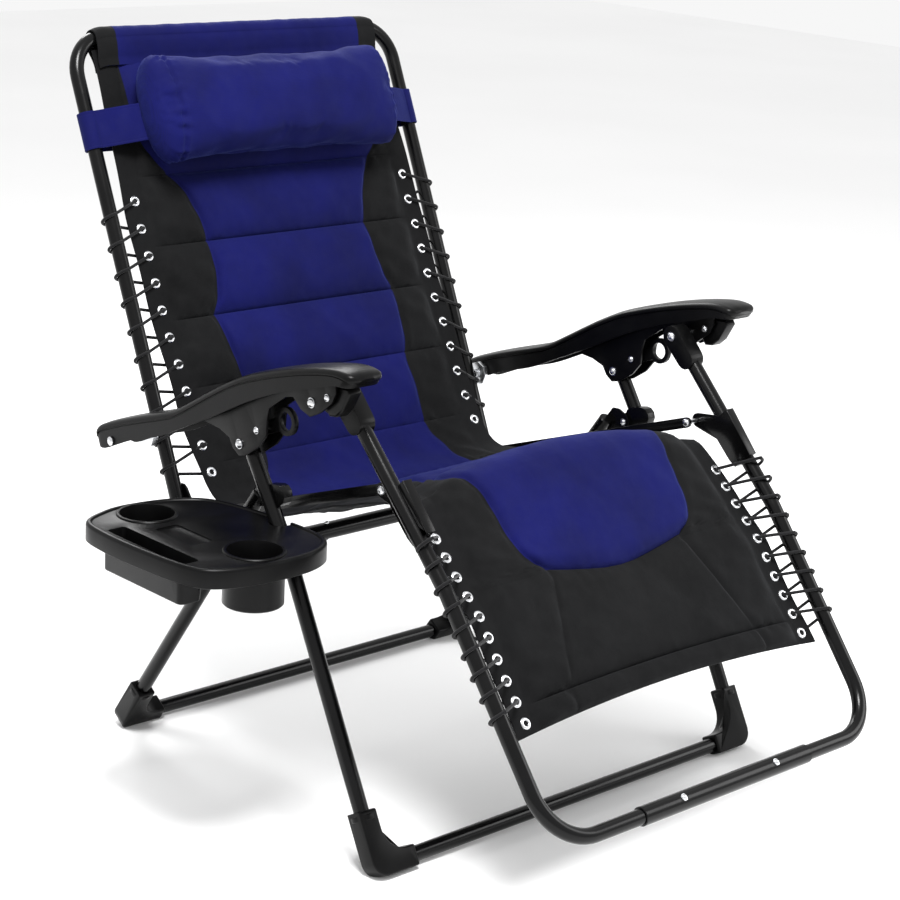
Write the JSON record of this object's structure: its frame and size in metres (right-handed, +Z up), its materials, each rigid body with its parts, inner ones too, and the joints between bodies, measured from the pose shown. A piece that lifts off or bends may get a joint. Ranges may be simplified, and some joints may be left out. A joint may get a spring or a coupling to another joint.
{
  "type": "zero gravity recliner",
  "caption": "Folding reclining lounge chair: tube legs and frames, laced padded sling, curved armrests with locks, headrest pillow and side tray.",
  "frame": {"origin": "on the floor, under the middle of the object's box at rest", "axes": "+Z up; the sitter faces -Y, so +Y runs towards the headrest and +X is the sitter's left"},
  "size_m": [1.0106, 1.1446, 1.034],
  "materials": {
    "painted_steel": "gloss black powder coat",
    "zinc_steel": "bright zinc plate",
    "black_plastic": "fine grained moulding",
    "blue_cloth": "woven polyester, padded",
    "black_cloth": "woven mesh cloth, padded",
    "elastic_cord": "braided elastic"
  },
  "bodies": {
    "front_legs": {"front_leg_tube": "painted_steel", "front_boot_left": "black_plastic", "front_boot_right": "black_plastic", "leg_saddle_left": "painted_steel", "leg_saddle_right": "painted_steel", "leg_rivet_left": "zinc_steel", "leg_rivet_right": "zinc_steel"},
    "rear_legs": {"rear_leg_tube": "painted_steel", "rear_boot_left": "black_plastic", "rear_boot_right": "black_plastic", "rear_leg_plate_left": "painted_steel", "rear_leg_plate_right": "painted_steel"},
    "armrests": {"armrest_left": "black_plastic", "armrest_right": "black_plastic", "arm_bracket_left": "black_plastic", "arm_bracket_right": "black_plastic", "leg_pivot_bolt_left": "zinc_steel", "leg_pivot_bolt_right": "zinc_steel", "foot_pivot_bolt_left": "zinc_steel", "foot_pivot_bolt_right": "zinc_steel", "lever_pin_left": "zinc_steel", "lever_pin_right": "zinc_steel", "ring_pin_left": "zinc_steel", "ring_pin_right": "zinc_steel"},
    "back_pivots": {"back_pivot_bolt_left": "zinc_steel", "back_pivot_bolt_right": "zinc_steel"},
    "back": {"back_tube": "painted_steel", "back_sleeve": "painted_steel", "back_ear_left": "painted_steel", "back_ear_right": "painted_steel", "back_pad": "blue_cloth", "back_lace_left": "elastic_cord", "back_lace_right": "elastic_cord"},
    "seat_rear_pivots": {"seat_rear_bolt_left": "zinc_steel", "seat_rear_bolt_right": "zinc_steel", "hip_pad": "blue_cloth"},
    "seat": {"seat_rail_left": "painted_steel", "seat_rail_right": "painted_steel", "seat_pad": "blue_cloth"},
    "seat_front_pivots": {"seat_front_bolt_left": "zinc_steel", "seat_front_bolt_right": "zinc_steel", "knee_pad": "blue_cloth"},
    "footrest": {"foot_tube_left": "painted_steel", "foot_tube_right": "painted_steel", "foot_sleeve": "painted_steel", "foot_cap_left": "black_plastic", "foot_cap_right": "black_plastic", "foot_ear_left": "painted_steel", "foot_ear_right": "painted_steel", "calf_pad": "black_cloth", "foot_lace_left": "elastic_cord", "foot_lace_right": "elastic_cord"},
    "headrest": {"headrest_pillow": "blue_cloth", "headrest_strap": "blue_cloth"},
    "tray": {"tray": "black_plastic"},
    "lock_lever_left": {"lock_lever_left": "black_plastic"},
    "lock_lever_right": {"lock_lever_right": "black_plastic"},
    "release_ring_left": {"release_ring_left": "black_plastic"},
    "release_ring_right": {"release_ring_right": "black_plastic"}
  },
  "joints": [
    {"name": "arm_fold", "type": "hinge", "parent": "front_legs", "child": "armrests", "pos_m": [0.09586, 0.02709, 0.538], "axis": [1, 0, 0], "range_deg": [-76, 0]},
    {"name": "back_fold", "type": "hinge", "parent": "armrests", "child": "back_pivots", "pos_m": [0.09586, 0.31109, 0.473], "axis": [1, 0, 0], "range_deg": [0, 76]},
    {"name": "recline", "type": "hinge", "parent": "back_pivots", "child": "back", "pos_m": [0.09586, 0.31109, 0.473], "axis": [1, 0, 0], "range_deg": [-40, 0]},
    {"name": "seat_recline", "type": "hinge", "parent": "back", "child": "seat_rear_pivots", "pos_m": [0.09586, 0.24509, 0.357], "axis": [1, 0, 0], "range_deg": [0, 40]},
    {"name": "seat_fold", "type": "hinge", "parent": "seat_rear_pivots", "child": "seat", "pos_m": [0.09586, 0.24509, 0.357], "axis": [1, 0, 0], "range_deg": [-76, 0]},
    {"name": "seat_front_fold", "type": "hinge", "parent": "seat", "child": "seat_front_pivots", "pos_m": [0.09586, -0.18791, 0.516], "axis": [1, 0, 0], "range_deg": [0, 76]},
    {"name": "foot_recline", "type": "hinge", "parent": "seat_front_pivots", "child": "footrest", "pos_m": [0.09586, -0.18791, 0.516], "axis": [1, 0, 0], "range_deg": [-40, 0]},
    {"name": "rear_leg_fold", "type": "hinge", "parent": "front_legs", "child": "rear_legs", "pos_m": [0.09586, -0.00391, 0.462], "axis": [1, 0, 0], "range_deg": [-57, 0]},
    {"name": "tray_slide", "type": "slide", "parent": "front_legs", "child": "tray", "axis": [-1, 0, 0], "range_m": [0, 0.252]},
    {"name": "headrest_slide", "type": "slide", "parent": "back", "child": "headrest", "axis": [0, 0.4141, 0.9102], "range_m": [-0.05, 0.03]},
    {"name": "lock_lever_left_turn", "type": "hinge", "parent": "armrests", "child": "lock_lever_left", "pos_m": [0.47086, -0.15291, 0.646], "axis": [1, 0, 0], "range_deg": [0, 30]},
    {"name": "lock_lever_right_turn", "type": "hinge", "parent": "armrests", "child": "lock_lever_right", "pos_m": [-0.27914, -0.15291, 0.646], "axis": [1, 0, 0], "range_deg": [0, 30]},
    {"name": "release_ring_left_pull", "type": "hinge", "parent": "armrests", "child": "release_ring_left", "pos_m": [0.47086, -0.00891, 0.566], "axis": [1, 0, 0], "range_deg": [0, 18], "stiffness_Nm_per_rad": 0.3, "springref_deg": -8.59},
    {"name": "release_ring_right_pull", "type": "hinge", "parent": "armrests", "child": "release_ring_right", "pos_m": [-0.27914, -0.00891, 0.566], "axis": [1, 0, 0], "range_deg": [0, 18], "stiffness_Nm_per_rad": 0.3, "springref_deg": -8.59}
  ],
  "couplings": [
    {"joint": "back_fold", "follows": "arm_fold", "ratio": -1},
    {"joint": "seat_fold", "follows": "arm_fold", "ratio": 1},
    {"joint": "seat_front_fold", "follows": "arm_fold", "ratio": -1},
    {"joint": "rear_leg_fold", "follows": "arm_fold", "ratio": 0.75},
    {"joint": "tray_slide", "follows": "arm_fold", "m_per_rad": -0.1885},
    {"joint": "seat_recline", "follows": "recline", "ratio": -1},
    {"joint": "foot_recline", "follows": "recline", "ratio": 1}
  ]
}
